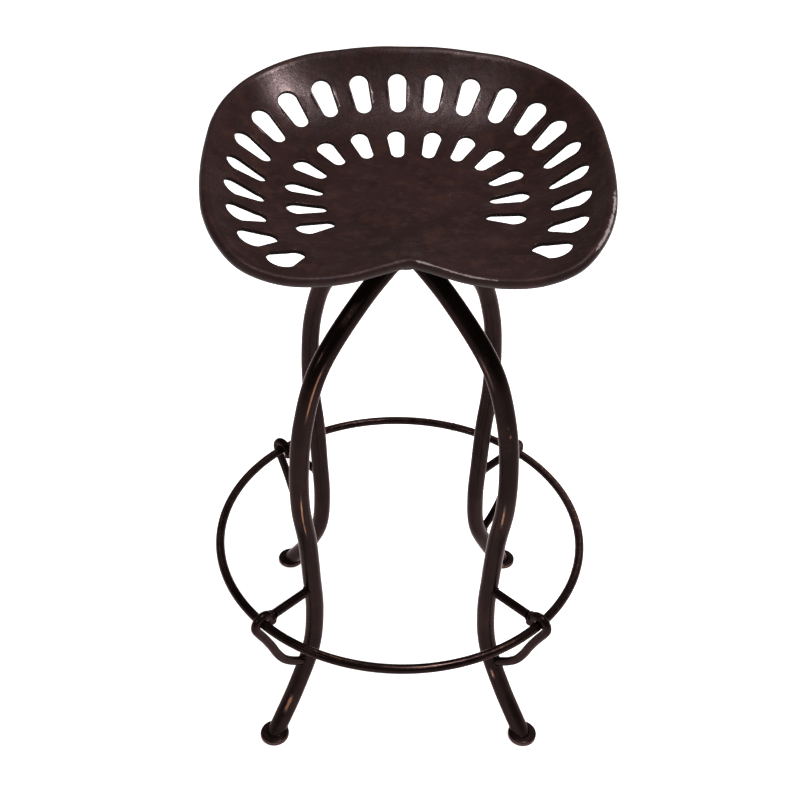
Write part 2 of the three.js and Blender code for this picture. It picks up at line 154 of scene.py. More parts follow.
# A row's length, wide end, narrow end and share of the way to the rim, each in front, at the
# side and at the back, and then the angles of its slots
slot_rows = [
    ((0.041, 0.047, 0.047), (0.032, 0.029, 0.0208), (0.020, 0.0165, 0.0174), (0.778, 0.797, 0.789), [
        -40, -26.5, -11.5, 5.3, 21.3, 33.3, 43.5, 54.4, 66.5, 79.4, 93.3, 107.4, 120.2, 131.6,
        142.9, 155.6, 170.8, 186.9, 201.8, 215.1, 228,
    ]),
    ((0.042, 0.043, 0.039), (0.023, 0.0245, 0.0193), (0.0145, 0.0155, 0.0145), (0.46, 0.505, 0.53), [
        -19.4, 4.1, 26, 43.4, 58.8, 75.8, 95.3, 114.2, 131, 147.9, 168, 190.7, 211.6,
    ]),
]


def smooth_line(points, closed=False, steps=12):
    """A smooth line through the points, by the centripetal rule that the frame's own lines follow."""
    points = [Vector(p) for p in points]
    if closed:
        ends = [points[-1], *points, points[0], points[1]]
    else:
        ends = [2 * points[0] - points[1], *points, 2 * points[-1] - points[-2]]
    line = []
    for a, b, c, d in zip(ends, ends[1:], ends[2:], ends[3:]):
        t1 = (b - a).length ** 0.5
        t2 = t1 + (c - b).length ** 0.5
        t3 = t2 + (d - c).length ** 0.5
        for step in range(steps):
            t = t1 + (t2 - t1) * step / steps
            ab = a + (b - a) * (t / t1)
            bc = b + (c - b) * ((t - t1) / (t2 - t1))
            cd = c + (d - c) * ((t - t2) / (t3 - t2))
            abc = ab + (bc - ab) * (t / t2)
            bcd = bc + (cd - bc) * ((t - t1) / (t3 - t1))
            line.append(abc + (bcd - abc) * ((t - t1) / (t2 - t1)))
    if not closed:
        line.append(points[-1])
    return line


def evenly(line, count):
    """Points at equal distances round a closed line."""
    lengths = [0.0]
    for here, there in zip(line, line[1:] + line[:1]):
        lengths.append(lengths[-1] + (there - here).length)
    points, i = [], 0
    for k in range(count):
        target = lengths[-1] * k / count
        while lengths[i + 1] < target:
            i += 1
        share = (target - lengths[i]) / (lengths[i + 1] - lengths[i])
        points.append(line[i].lerp(line[(i + 1) % len(line)], share))
    return points


def feed(tree, node, feeds):
    """Feeds a node's inputs, by name or number, with plain values or with other nodes' outputs."""
    for socket, value in feeds.items():
        value = getattr(value, "socket", value)
        if isinstance(value, bpy.types.NodeSocket):
            tree.links.new(value, node.inputs[socket])
        else:
            node.inputs[socket].default_value = value


def node_in(tree, kind, feeds, **settings):
    """A new node of a tree, with its settings by name and its inputs fed."""
    node = tree.nodes.new(kind)
    for name, value in settings.items():
        setattr(node, name, value)
    feed(tree, node, feeds)
    return node


class Amount:
    """A number that a node tree works out. It is added, multiplied and so on like a plain one."""

    def __init__(self, tree, socket):
        self.tree, self.socket = tree, socket

    def done(self, operation, *values):
        node = node_in(self.tree, "ShaderNodeMath", dict(enumerate((self, *values))), operation=operation)
        return Amount(self.tree, node.outputs[0])

    def __add__(self, other):
        return self.done("ADD", other)

    def __sub__(self, other):
        return self.done("SUBTRACT", other)

    def __mul__(self, other):
        return self.done("MULTIPLY", other)

    __rmul__ = __mul__

    def __truediv__(self, other):
        return self.done("DIVIDE", other)

    def __pow__(self, other):
        return self.done("POWER", other)

    def __neg__(self):
        return self.done("MULTIPLY", -1.0)

    def __abs__(self):
        return self.done("ABSOLUTE")


def above_zero(x):
    return x.done("MAXIMUM", 0.0) if isinstance(x, Amount) else max(x, 0)


def falling(x):
    """e to the power of minus x."""
    return (-x).done("EXPONENT") if isinstance(x, Amount) else math.exp(-x)


def signed(size, like):
    return size * like.done("SIGN") if isinstance(like, Amount) else math.copysign(size, like)


def pan_rule(s, u, v):
    """Height of the pan's upper face over a place of the blank, and its slopes there. The place is
    given in plain numbers, or in a node tree's."""
    back_length = s["Back length"] - s["Back start"]
    back = above_zero(v - s["Back start"]) / back_length
    front = above_zero(-v) / s["Front length"]
    across = abs(u) / s["Half width"]
    nose = abs(u) / s["Nose width"]
    bell = s["Nose rise"] * falling(nose ** s["Nose power"])
    ridge = s["Front rise"] + bell
    back_height = s["Back rise"] * back ** s["Back power"]
    side_height = s["Side rise"] * across ** s["Side power"]
    height = s["Bowl height"] + back_height + side_height + ridge * front * front
    side_slope = across ** (s["Side power"] - 1) * s["Side rise"] * s["Side power"] / s["Half width"]
    nose_slope = nose ** (s["Nose power"] - 1) * s["Nose power"] / s["Nose width"] * bell * front * front
    back_slope = back ** (s["Back power"] - 1) * s["Back rise"] * s["Back power"] / back_length
    front_slope = 2 * ridge * front / s["Front length"]
    return height, signed(side_slope - nose_slope, u), back_slope - front_slope


def pan_surface(u, v):
    """The pan's upper face over a place of the blank, and its normal there."""
    height, slope_u, slope_v = pan_rule(pan_sizes, u, v)
    return Vector((u, v, height)), Vector((-slope_u, -slope_v, 1)).normalized()


def next_round(loop):
    """Each member of a closed loop with the one after it."""
    return zip(loop, loop[1:] + loop[:1])


half_rim = []
for across_share, along_share in rim_shares:
    length = pan_sizes["Front length"] if along_share < 0 else pan_sizes["Back length"]
    half_rim.append(Vector((across_share * pan_sizes["Half width"], along_share * length, 0)))
mirrored = [Vector((-p.x, p.y, 0)) for p in half_rim[-2:0:-1]]
rim_line = smooth_line(half_rim + mirrored, closed=True, steps=40)
rim_points = evenly(rim_line, rim_stations)

# The blank's own lists: flat places, how far each stands off the pan's face along its normal,
# which way and how far it reaches out sideways, how worn it is, and whether it lies on the pad.
# A place with less than no wear is rough and painted dark: painted shade.
places, lifts, ways, wears_and_shades, feet, faces = [], [], [], [], [], []


def add_place(place, lift=0.0, way=(0, 0, 0), wear=0.0, foot=0.0):
    places.append(Vector((place[0], place[1], 0)))
    lifts.append(lift)
    ways.append(Vector(way))
    wears_and_shades.append(wear)
    feet.append(foot)
    return len(places) - 1


def add_strip(near, far):
    """Faces between two loops of places of the same count."""
    for k in range(len(near)):
        after = (k + 1) % len(near)
        faces.append((near[k], far[k], far[after], near[after]))


def ranged_share(value, start, end):
    """0 at the start, 1 at the end, and evenly between."""
    return min(max((value - start) / (end - start), 0.0), 1.0)


# Rim: a rounded bead, with a fine step where it meets the dish
bead_edges, bead_ways = [], []
for k, point in enumerate(rim_points):
    along = (rim_points[(k + 1) % rim_stations] - rim_points[k - 1]).normalized()
    out = Vector((along.y, -along.x, 0))
    inner = point - out * rim_radius
    normal = pan_surface(inner.x, inner.y)[1]
    bead_edges.append(inner + Vector((normal.x, normal.y, 0)) * rim_radius)
    bead_ways.append(out)

# Each slot is a teardrop that points at the centre of the pattern, square to the surface. Its
# rings stand off its wall by shares of the easing of its edge, and the last two lie on the face.
slot_loops = []
for *row_sizes, angles in slot_rows:
    for degrees in angles:
        ray = Vector((math.cos(math.radians(degrees)), math.sin(math.radians(degrees)), 0))
        place = max(rim_line, key=lambda p: p.normalized().dot(ray))
        backness = place.normalized().y
        length, wide, narrow, share = (
            size[1] + ((size[2] if backness > 0 else size[0]) - size[1]) * abs(backness)
            for size in row_sizes
        )
        place = place * share
        middle, normal = pan_surface(place.x, place.y)
        farther = place * (1 + pan_wall / place.length)
        outward = pan_surface(farther.x, farther.y)[0] - middle
        outward = (outward - normal * outward.dot(normal)).normalized()
        sideways = normal.cross(outward)
        rings = []
        for ease in (0.0, 0.13, 0.5, 1.0, 2.0):
            grow = slot_easing * ease
            ring = []
            for k in range(slot_stations):
                turn = (k + 0.5) / slot_stations * 2 * math.pi
                c, s = math.cos(turn), math.sin(turn)
                end, radius = (length - wide, wide) if c > 0 else (narrow - length, narrow)
                radius = radius / 2 + grow
                point = middle + outward * (end / 2 + radius * c) + sideways * (radius * s)
                flat = point.copy()
                for _ in range(12):
                    surface, facing = pan_surface(flat.x, flat.y)
                    flat = point + normal * (surface - point).dot(facing) / normal.dot(facing)
                ring.append(Vector((flat.x, flat.y, 0)))
            rings.append(ring)
        slot_loops.append(rings)

# Loose places between the slots and the rim, on a close triangular pattern
cell_size = 0.01
cells = {}
for p in [p for rings in slot_loops for p in rings[4]] + bead_edges:
    cells.setdefault((int(p.x // cell_size), int(p.y // cell_size)), []).append(p)
slot_boxes = []
for rings in slot_loops:
    xs, ys = [p.x for p in rings[4]], [p.y for p in rings[4]]
    slot_boxes.append((min(xs), max(xs), min(ys), max(ys), rings[4]))


def crossings_at(y, loop):
    """Where a closed loop crosses a level."""
    return [
        a.x + (y - a.y) / (b.y - a.y) * (b.x - a.x)
        for a, b in next_round(loop)
        if (a.y > y) != (b.y > y)
    ]


def inside(x, crossings):
    """Whether an odd number of crossings lies past a place of their level."""
    return sum(1 for crossing in crossings if x < crossing) % 2 == 1


loose = []
for row in range(-70, 90):
    y = row * mesh_spacing * math.sqrt(3) / 2
    rim_crossings = crossings_at(y, bead_edges)
    for column in range(-80, 81):
        x = (column + (row % 2) / 2) * mesh_spacing
        if not inside(x, rim_crossings):
            continue
        point = Vector((x, y, 0))
        i, j = int(x // cell_size), int(y // cell_size)
        near = [p for di in (-1, 0, 1) for dj in (-1, 0, 1) for p in cells.get((i + di, j + dj), [])]
        if any((p - point).length < mesh_spacing * 0.6 for p in near):
            continue
        if not any(
            x0 < x < x1 and y0 < y < y1 and inside(x, crossings_at(y, loop))
            for x0, x1, y0, y1, loop in slot_boxes
        ):
            loose.append(point)

flat_points = [Vector((p.x, p.y)) for p in bead_edges]
loops = [list(range(rim_stations))]
for rings in slot_loops:
    for ring in rings[3:]:
        loops.append(list(range(len(flat_points), len(flat_points) + slot_stations)))
        flat_points += [Vector((p.x, p.y)) for p in ring]
flat_points += [Vector((p.x, p.y)) for p in loose]
owner = {index: number for number, loop in enumerate(loops) for index in loop}
edges = [edge for loop in loops for edge in next_round(loop)]
made_points, _, made_faces, origins, _, _ = delaunay_2d_cdt(flat_points, edges, [], 0, 1e-7)
source = [olds[0] if olds else None for olds in origins]
# What was filled in between the places of one slot, or past the rim, is left out
sheet_faces = []
for a, b, c in made_faces:
    owners = {owner.get(source[a]), owner.get(source[b]), owner.get(source[c])}
    if len(owners) == 1 and None not in owners:
        number = owners.pop()
        if number == 0 or number % 2 == 1:
            continue
    turned = (made_points[b] - made_points[a]).cross(made_points[c] - made_points[a]) > 0
    sheet_faces.append((a, b, c) if turned else (a, c, b))

# Two scuffs and a few nicks in the bowl: place on the blank, radius and how worn
scuffs = [
    (-0.016, 0.010, 0.007, 0.30), (0.012, -0.024, 0.003, 0.45), (0.030, -0.046, 0.003, 0.35),
    (-0.060, -0.030, 0.004, 0.25), (-0.118, 0.150, 0.010, 0.22), (0.085, 0.140, 0.005, 0.25),
]
# Painted shade: this mark paints a place nearly black, and the underside's paints it part way to black
painted_shade_mark = -1.0
underside_painted_shade = -0.45
mouth_wear = {index: 0.06 for loop in loops[1::2] for index in loop}
sheets = {}
for depth in (0.0, pan_wall):
    sheet = []
    for i, p in enumerate(made_points):
        # The underside is painted part way to black: painted shade under the pan
        wear = underside_painted_shade
        if not depth:
            wear = mouth_wear.get(source[i], 0.0)
            for x, y, radius, strength in scuffs:
                wear = max(wear, strength * (1 - math.hypot(p.x - x, p.y - y) / radius))
        sheet.append(add_place(p, lift=-depth, wear=wear))
    sheets[depth] = {source[i]: sheet[i] for i in range(len(sheet)) if source[i] is not None}
    for a, b, c in sheet_faces:
        faces.append((sheet[a], sheet[c], sheet[b]) if depth else (sheet[a], sheet[b], sheet[c]))

for number, rings in enumerate(slot_loops):
    mouth = loops[1 + 2 * number]
    near = [sheets[0.0][i] for i in mouth]
    for ease, ring, below in (
        (0.5, rings[2], 0), (0.13, rings[1], 0), (0.0, rings[0], 0),
        (0.0, rings[0], 1), (0.13, rings[1], 1), (0.5, rings[2], 1),
    ):
        drop = slot_easing * (1 - math.sqrt(1 - (1 - ease) ** 2))
        lift = drop - pan_wall if below else -drop
        # The slot walls are painted nearly black: painted shade in the slots
        far = [add_place(p, lift=lift, wear=painted_shade_mark if below or not ease else 0.04) for p in ring]
        add_strip(far, near)
        near = far
    add_strip([sheets[pan_wall][i] for i in mouth], near)

# The bead is rubbed bright from the notch along the front right, and on the lip at the right,
# and a little at the front left
rim_wear = []
for p in bead_edges:
    bearing = math.degrees(math.atan2(p.y, p.x))
    rim_wear.append((
        ranged_share(bearing, -92, -86) * ranged_share(bearing, -52, -66),
        ranged_share(bearing, -46, -38) * ranged_share(bearing, -10, -20),
        ranged_share(bearing, -158, -150) * ranged_share(bearing, -128, -138),
    ))
bead_steps = 16
bead_groove = 0.00025
near = [sheets[0.0][i] for i in loops[0]]
for step in range(1, bead_steps + 1):
    turn = math.pi * step / bead_steps
    lift = rim_radius * (math.cos(turn) - 1) - (bead_groove if step < 3 else 0.0)
    crease = max(0.0, 1 - abs(step - 4) / 2.2)
    lip = max(0.0, 1 - abs(step - 6) / 4)
    handled = 0.12 * ranged_share(step, 0, 2)
    # The bead's lower half is painted nearly black: painted shade under the rim
    lower = ranged_share(step, 9, 14)
    far = [
        add_place(
            p,
            lift=lift,
            way=way * (rim_radius * math.sin(turn)),
            wear=max(crease * front_right, lip * right, 0.45 * crease * front_left, handled) - lower,
        )
        for p, way, (front_right, right, front_left) in zip(bead_edges, bead_ways, rim_wear)
    ]
    add_strip(near, far)
    near = far
add_strip(near, [sheets[pan_wall][i] for i in loops[0]])

# Pad, with a fillet into the bowl's underside and a turned lower edge: radius, lift, and whether
# the lift counts from the pad's bottom
pad_stations = 96
setback = Vector((0, -pan_sizes["Setback"], 0))
near = None
for radius, lift, foot in (
    (0.0, -0.5 * pan_wall, 0), (0.030, -0.5 * pan_wall, 0), (0.066, -0.6 * pan_wall, 0),
    (0.066, -pan_wall, 0), (0.0645, -pan_wall - 0.0004, 0), (0.0631, -pan_wall - 0.0013, 0),
    (0.0622, -pan_wall - 0.0027, 0), (0.0619, -pan_wall - 0.0045, 0), (0.0608, 0.0012, 1),
    (0.0603, 0.0003, 1), (0.0595, 0.0, 1), (0.030, 0.0, 1), (0.0, 0.0, 1),
):
    far = []
    for k in range(pad_stations if radius else 1):
        turn = 2 * math.pi * k / pad_stations
        place = setback + Vector((math.cos(turn), math.sin(turn), 0)) * radius
        # The pad is painted nearly black: painted shade under the pan
        far.append(add_place(place, lift=lift, wear=painted_shade_mark, foot=foot))
    if near and len(near) == len(far):
        add_strip(near, far)
    elif near and len(near) == 1:
        faces += [(near[0], far[k], far[(k + 1) % pad_stations]) for k in range(pad_stations)]
    elif near:
        faces += [(near[k], far[0], near[(k + 1) % pad_stations]) for k in range(pad_stations)]
    near = far

blank = bpy.data.meshes.new("seat_pan_blank")
blank.from_pydata(places, [], faces)
for name, values in (("lift", lifts), ("wear", wears_and_shades), ("foot", feet)):
    blank.attributes.new(name, "FLOAT", "POINT").data.foreach_set("value", values)
way_numbers = [number for way in ways for number in way]
blank.attributes.new("way", "FLOAT_VECTOR", "POINT").data.foreach_set("vector", way_numbers)


def new_tree(name, takes, numbers, gives, counts=()):
    """An empty tree for a shape. It takes a mesh, named numbers and counts, and a finish."""
    tree = bpy.data.node_groups.new(name, "GeometryNodeTree")
    sockets = [(takes, "Geometry"), *((n, "Float") for n in numbers), *((c, "Int") for c in counts)]
    for socket, kind in (*sockets, ("Finish", "Material")):
        tree.interface.new_socket(socket, in_out="INPUT", socket_type="NodeSocket" + kind)
    tree.interface.new_socket(gives, in_out="OUTPUT", socket_type="NodeSocketGeometry")
    return tree, tree.nodes.new("NodeGroupInput").outputs


def end_tree(tree, asked, shape):
    """Makes a shape's instances real, puts the finish on it and gives it out."""
    real = node_in(tree, "GeometryNodeRealizeInstances", {0: shape}).outputs[0]
    painted = node_in(tree, "GeometryNodeSetMaterial", {"Geometry": real, "Material": asked["Finish"]})
    tree.links.new(painted.outputs[0], tree.nodes.new("NodeGroupOutput").inputs[0])


def vectors(tree, operation, *values, **more):
    """The outcome of a sum of vectors."""
    node = node_in(tree, "ShaderNodeVectorMath", {**dict(enumerate(values)), **more}, operation=operation)
    return node.outputs["Value" if operation in ("DOT_PRODUCT", "LENGTH") else "Vector"]


def place_of(tree, *coordinates):
    return node_in(tree, "ShaderNodeCombineXYZ", dict(enumerate(coordinates))).outputs[0]


def noted(tree, name, kind="FLOAT"):
    """What a mesh notes under a name at each of its places."""
    node = node_in(tree, "GeometryNodeInputNamedAttribute", {"Name": name}, data_type=kind)
    return Amount(tree, node.outputs["Attribute"])


# The rule that forms the blank
tree, asked = new_tree("pan_form", "Blank", [*pan_sizes, "Unevenness"], "Pan")
pan_form = tree
size = {name: Amount(tree, asked[name]) for name in (*pan_sizes, "Unevenness")}
flat_place = tree.nodes.new("GeometryNodeInputPosition").outputs[0]
flat_place = node_in(tree, "ShaderNodeSeparateXYZ", {0: flat_place})
u, v = Amount(tree, flat_place.outputs[0]), Amount(tree, flat_place.outputs[1])
height, slope_u, slope_v = pan_rule(size, u, v)
facing = vectors(tree, "NORMALIZE", place_of(tree, -slope_u, -slope_v, 1.0))

# A sand mould leaves the face a little uneven
mould = node_in(tree, "ShaderNodeTexNoise", {"Scale": 26.0, "Detail": 2.0})
lift = noted(tree, "lift") + (Amount(tree, mould.outputs["Fac"]) - 0.5) * size["Unevenness"]
way = noted(tree, "way", "FLOAT_VECTOR")
off_face = vectors(tree, "SCALE", facing, Scale=vectors(tree, "DOT_PRODUCT", way, facing))
slide = vectors(tree, "NORMALIZE", vectors(tree, "SUBTRACT", way, off_face))
slide = vectors(tree, "SCALE", slide, Scale=vectors(tree, "LENGTH", way))
on_face = vectors(tree, "ADD", place_of(tree, u, v, height), vectors(tree, "SCALE", facing, Scale=lift))
on_face = vectors(tree, "ADD", on_face, slide)
on_pad = place_of(tree, u, v, size["Pad bottom"] + noted(tree, "lift"))
placed = node_in(
    tree, "ShaderNodeMix", {"Factor": noted(tree, "foot"), 4: on_face, 5: on_pad}, data_type="VECTOR"
)
placed = vectors(tree, "ADD", placed.outputs[1], place_of(tree, 0.0, size["Setback"], 0.0))
formed = node_in(tree, "GeometryNodeSetPosition", {"Geometry": asked["Blank"], "Position": placed})
smoothed = node_in(tree, "GeometryNodeSetShadeSmooth", {"Geometry": formed.outputs[0]})
end_tree(tree, asked, smoothed.outputs[0])


def made_by(tree, name, mesh, sizes):
    """A finished mesh object from a tree: its inputs are set by name, and the result is made plain."""
    shape = bpy.data.objects.new(name + "_shape", mesh)
    scene.collection.objects.link(shape)
    nodes = shape.modifiers.new("shape", "NODES")
    nodes.node_group = tree
    for item in tree.interface.items_tree:
        if item.item_type == "SOCKET" and item.in_out == "INPUT" and item.name in sizes:
            nodes[item.identifier] = sizes[item.name]
    shape.update_tag()
    ready = shape.evaluated_get(bpy.context.evaluated_depsgraph_get())
    plain = bpy.data.meshes.new_from_object(ready)
    plain.name = name
    bpy.data.objects.remove(shape)
    piece = bpy.data.objects.new(name, plain)
    scene.collection.objects.link(piece)
    return piece


def new_finish(name):
    """A new material, with its tree and its shader."""
    finish = bpy.data.materials.new(name)
    finish.use_nodes = True
    return finish, finish.node_tree, finish.node_tree.nodes["Principled BSDF"]


def noise_of(tree, scale, detail, roughness, distortion=0.0, stretch=(1, 1, 1), seed=0.0):
    """A noise pattern on object coordinates, in its own corner of the noise."""
    where = node_in(tree, "ShaderNodeMapping", {
        "Vector": tree.nodes.new("ShaderNodeTexCoord").outputs["Object"],
        "Location": (seed, 1.7 * seed, -0.6 * seed),
        "Scale": stretch,
    })
    noise = node_in(tree, "ShaderNodeTexNoise", {
        "Vector": where.outputs[0], "Scale": scale, "Detail": detail, "Roughness": roughness,
        "Distortion": distortion,
    })
    return Amount(tree, noise.outputs["Fac"])


def ranged(value, low, high, to_low=0.0, to_high=1.0):
    """A value spread from one range to another, with nothing past its ends."""
    feeds = dict(enumerate((value, low, high, to_low, to_high)))
    node = node_in(value.tree, "ShaderNodeMapRange", feeds, interpolation_type="SMOOTHSTEP")
    return Amount(value.tree, node.outputs[0])


def blended(share, under, over):
    """One colour over another, by a share."""
    under, over = ((*c, 1) if isinstance(c, tuple) else c for c in (under, over))
    return node_in(share.tree, "ShaderNodeMix", {0: share, 6: under, 7: over}, data_type="RGBA").outputs[2]


def bumped(height, strength, distance, before=None):
    """A relief, over the one before it."""
    feeds = {"Height": height, "Strength": strength, "Distance": distance}
    if before:
        feeds["Normal"] = before
    return node_in(height.tree, "ShaderNodeBump", feeds).outputs[0]


def wear_and_shade_value(tree):
    node = tree.nodes.new("ShaderNodeAttribute")
    node.attribute_name = "wear"
    return Amount(tree, node.outputs["Fac"])


# Finish of the casting: a dark brown patina, mottled warm and grey, dull in the hollows, rubbed
# to grey-brown metal in patches of the rim, and rough and painted near black as painted shade in
# the slots, under the rim bead and on the pad, and part way to black under the pan
seat_patina, tree, shader = new_finish("seat_patina")
cloud = noise_of(tree, 17.0, 6.0, 0.62, distortion=0.5)
warm = noise_of(tree, 52.0, 7.0, 0.68, distortion=0.3, seed=3.1)
grey = noise_of(tree, 38.0, 8.0, 0.74, distortion=0.9, stretch=(1.0, 1.8, 1.3), seed=11.4)
grain = noise_of(tree, 430.0, 3.0, 0.6, seed=5.3)
speck = noise_of(tree, 170.0, 5.0, 0.72, seed=8.2)
nick = noise_of(tree, 130.0, 9.0, 0.8, distortion=0.4, seed=2.2)
noted_wear_and_shade = wear_and_shade_value(tree)
painted_shade = ranged(noted_wear_and_shade, -0.1, -0.9)
colour = blended(ranged(cloud, 0.38, 0.62), (0.0155, 0.0074, 0.0070), (0.0220, 0.0106, 0.0102))
colour = blended(ranged(warm, 0.48, 0.68, 0.0, 0.6), colour, (0.040, 0.0175, 0.0130))
colour = blended(ranged(grey, 0.50, 0.72, 0.0, 0.55), colour, (0.036, 0.0225, 0.0225))
colour = blended(ranged(speck, 0.60, 0.74, 0.0, 0.6), colour, (0.008, 0.0045, 0.0045))
colour = blended(ranged(noted_wear_and_shade + nick * 1.9, 1.52, 1.90), colour, (0.26, 0.215, 0.21))
# Painted shade: the slot walls, the bead's lower half and the pad are painted nearly black, the underside
# part way
colour = blended(painted_shade, colour, (0.0060, 0.0032, 0.0030))
dullness = ranged(grey, 0.30, 0.75, 0.30, 0.21) + ranged(grain, 0.3, 0.7, -0.03, 0.04)
dullness = dullness + ranged(warm, 0.3, 0.7, 0.04, -0.03) + painted_shade * 0.7 + ranged(noted_wear_and_shade, 0.0, 0.12, 0.0, 0.20)
relief = None
for pattern, strength, distance in (
    (cloud, 0.18, 0.0030), (warm, 0.20, 0.0010), (speck, 0.20, 0.0002), (grain, 0.20, 0.00006)
):
    relief = bumped(pattern, strength, distance, relief)
feed(tree, shader, {
    "Base Color": colour, "Metallic": 0.0, "Specular IOR Level": 0.17,
    "Specular Tint": (1.0, 0.74, 0.75, 1), "Roughness": dullness, "Normal": relief,
})

seat_pan = made_by(
    pan_form, "seat_pan_casting", blank, {**pan_sizes, "Unevenness": 0.0007, "Finish": seat_patina}
)
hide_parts("seat_pan")
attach(seat_pan, "seat")


# Legs. Four lengths of round steel tube, bent alike: out from the hub, down, in at the knee
# and out again to the foot. Each is coped round the hub, cut level over its disc and lacquered
# black brown, with copper showing where the lacquer has rubbed through.
tube_radius = 0.011
foot_reach = 0.2225
crown_height = 0.612
hub_radius = 0.0172
disc_height = 0.007
# Reach of the leg's middle line as shares of the foot's, each with its height as a share of the
# crown's
leg_shares = [
    (1.01, -0.015), (1, 0), (0.828, 0.095), (0.698, 0.19), (0.665, 0.285), (0.678, 0.38),
    (0.696, 0.475), (0.732, 0.569), (0.73, 0.665), (0.69, 0.76), (0.582, 0.854), (0.298, 0.949),
    (0.076, 0.997), (0, 1.009),
]
corners = {"front_left": 225, "front_right": 315, "rear_right": 45, "rear_left": 135}
leg_line = smooth_line([(r * foot_reach, 0, h * crown_height) for r, h in leg_shares])

# Bars and tubes: a round section swept along a line, then cut by a hub and by the floor's level
tree, asked = new_tree(
    "bent_bar", "Line",
    ["Radius", "Spacing", "Hub radius", "Hub height", "Floor cut", "Ripple", "Ripple length"],
    "Bar", counts=["Sides"],
)
bent_bar = tree
curve = node_in(tree, "GeometryNodeMeshToCurve", {0: asked["Line"]}).outputs[0]
even = node_in(tree, "GeometryNodeResampleCurve", {"Curve": curve, "Length": asked["Spacing"]}, mode="LENGTH")
# A weld's ripples swell and thin the bar along its length
along = Amount(tree, tree.nodes.new("GeometryNodeSplineParameter").outputs["Length"])
wave = (along / asked["Ripple length"] * (2 * math.pi)).done("SINE")
swell = node_in(
    tree, "GeometryNodeSetCurveRadius", {"Curve": even.outputs[0], "Radius": wave * asked["Ripple"] + 1.0}
)
section = node_in(
    tree, "GeometryNodeCurvePrimitiveCircle", {"Resolution": asked["Sides"], "Radius": asked["Radius"]}
)
swept = node_in(tree, "GeometryNodeCurveToMesh", {
    "Curve": swell.outputs[0], "Profile Curve": section.outputs["Curve"], "Fill Caps": True,
})
cut = node_in(
    tree, "GeometryNodeMeshBoolean", {"Mesh 1": swept.outputs[0]}, operation="DIFFERENCE", solver="EXACT"
)
hub_cutter = {"Vertices": 96, "Depth": 0.12, "Radius": asked["Hub radius"]}
cutter_depth = 0.1
cutter_middle = Amount(tree, asked["Floor cut"]) - cutter_depth / 2
for kind, feeds, height in (
    ("GeometryNodeMeshCylinder", hub_cutter, asked["Hub height"]),
    ("GeometryNodeMeshCube", {"Size": (1.0, 1.0, cutter_depth)}, cutter_middle),
):
    cutter = node_in(tree, kind, feeds).outputs["Mesh"]
    moved = {"Geometry": cutter, "Translation": place_of(tree, 0.0, 0.0, height)}
    tree.links.new(node_in(tree, "GeometryNodeTransform", moved).outputs[0], cut.inputs["Mesh 2"])
edge_angle = Amount(tree, tree.nodes.new("GeometryNodeInputMeshEdgeAngle").outputs["Unsigned Angle"])
sharp = edge_angle.done("GREATER_THAN", 0.7)
smoothed = node_in(tree, "GeometryNodeSetShadeSmooth", {"Geometry": cut.outputs["Mesh"]})
sharpened = node_in(
    tree,
    "GeometryNodeSetShadeSmooth",
    {"Geometry": smoothed.outputs[0], "Selection": sharp, "Shade Smooth": False},
    domain="EDGE",
)
end_tree(tree, asked, sharpened.outputs[0])

frame_lacquer, tree, shader = new_finish("frame_lacquer")
cloud = noise_of(tree, 16.0, 5.0, 0.6, seed=1.3)
streak = noise_of(tree, 60.0, 6.0, 0.7, distortion=0.6, stretch=(1.0, 1.0, 0.22), seed=4.6)
fine = noise_of(tree, 520.0, 3.0, 0.6, seed=7.7)
patch = noise_of(tree, 30.0, 9.0, 0.66, stretch=(1.0, 1.0, 0.35), seed=9.4)
ragged = noise_of(tree, 190.0, 7.0, 0.75, stretch=(1.0, 1.0, 0.4), seed=6.1)
noted_wear_and_shade = wear_and_shade_value(tree)
colour = blended(ranged(cloud, 0.35, 0.68), (0.0105, 0.0060, 0.0056), (0.0180, 0.0100, 0.0094))
colour = blended(ranged(streak, 0.50, 0.76, 0.0, 0.5), colour, (0.0300, 0.0160, 0.0148))
colour = blended(ranged(noted_wear_and_shade + streak * 0.5, 0.30, 0.85), colour, (0.095, 0.056, 0.052))
through = ranged(noted_wear_and_shade + ragged * 0.9, 0.86, 0.98).done("MAXIMUM", ranged(patch, 0.70, 0.735))
colour = blended(through, colour, (0.29, 0.135, 0.070))
relief = None
for pattern, strength, distance in ((cloud, 0.22, 0.002), (streak, 0.25, 0.0005), (fine, 0.25, 0.00008)):
    relief = bumped(pattern, strength, distance, relief)
feed(tree, shader, {
    "Base Color": colour, "Metallic": 0.6, "Specular IOR Level": 0.10,
    "Specular Tint": (0.50, 0.35, 0.345, 1),
    "Roughness": ranged(streak, 0.3, 0.75, 0.17, 0.30) + ranged(fine, 0.3, 0.7, -0.03, 0.04),
    "Normal": relief,
})


def turned_to(line, degrees):
    """A line of the leg's own upright plane, turned to its corner."""
    turn = Matrix.Rotation(math.radians(degrees), 3, "Z")
    return [turn @ Vector(p) for p in line]


def bar(name, lines, radius, spacing, sides, closed=False, **sizes):
    """Lacquered bars along lines. Unless sizes say otherwise they have no cope, floor cut or ripple
    that meets them. Underscores in the names of sizes stand for spaces."""
    points, edges = [], []
    for line in lines:
        start = len(points)
        points += [tuple(p) for p in line]
        edges += [(start + k, start + k + 1) for k in range(len(line) - 1)]
        if closed:
            edges.append((len(points) - 1, start))
    mesh = bpy.data.meshes.new(name + "_line")
    mesh.from_pydata(points, edges, [])
    settings = {
        "Radius": radius, "Spacing": spacing, "Sides": sides, "Hub radius": 0.01, "Hub height": crown_height,
        "Floor cut": 0.0, "Ripple": 0.0, "Ripple length": 1.0, "Finish": frame_lacquer,
    }
    settings.update({size_name.replace("_", " "): size for size_name, size in sizes.items()})
    return made_by(bent_bar, name, mesh, settings)


def leg_reach_at(height):
    for low, high in zip(leg_line, leg_line[1:]):
        if low.z <= height < high.z:
            return low.x + (high.x - low.x) * (height - low.z) / (high.z - low.z)
    return leg_line[-1].x


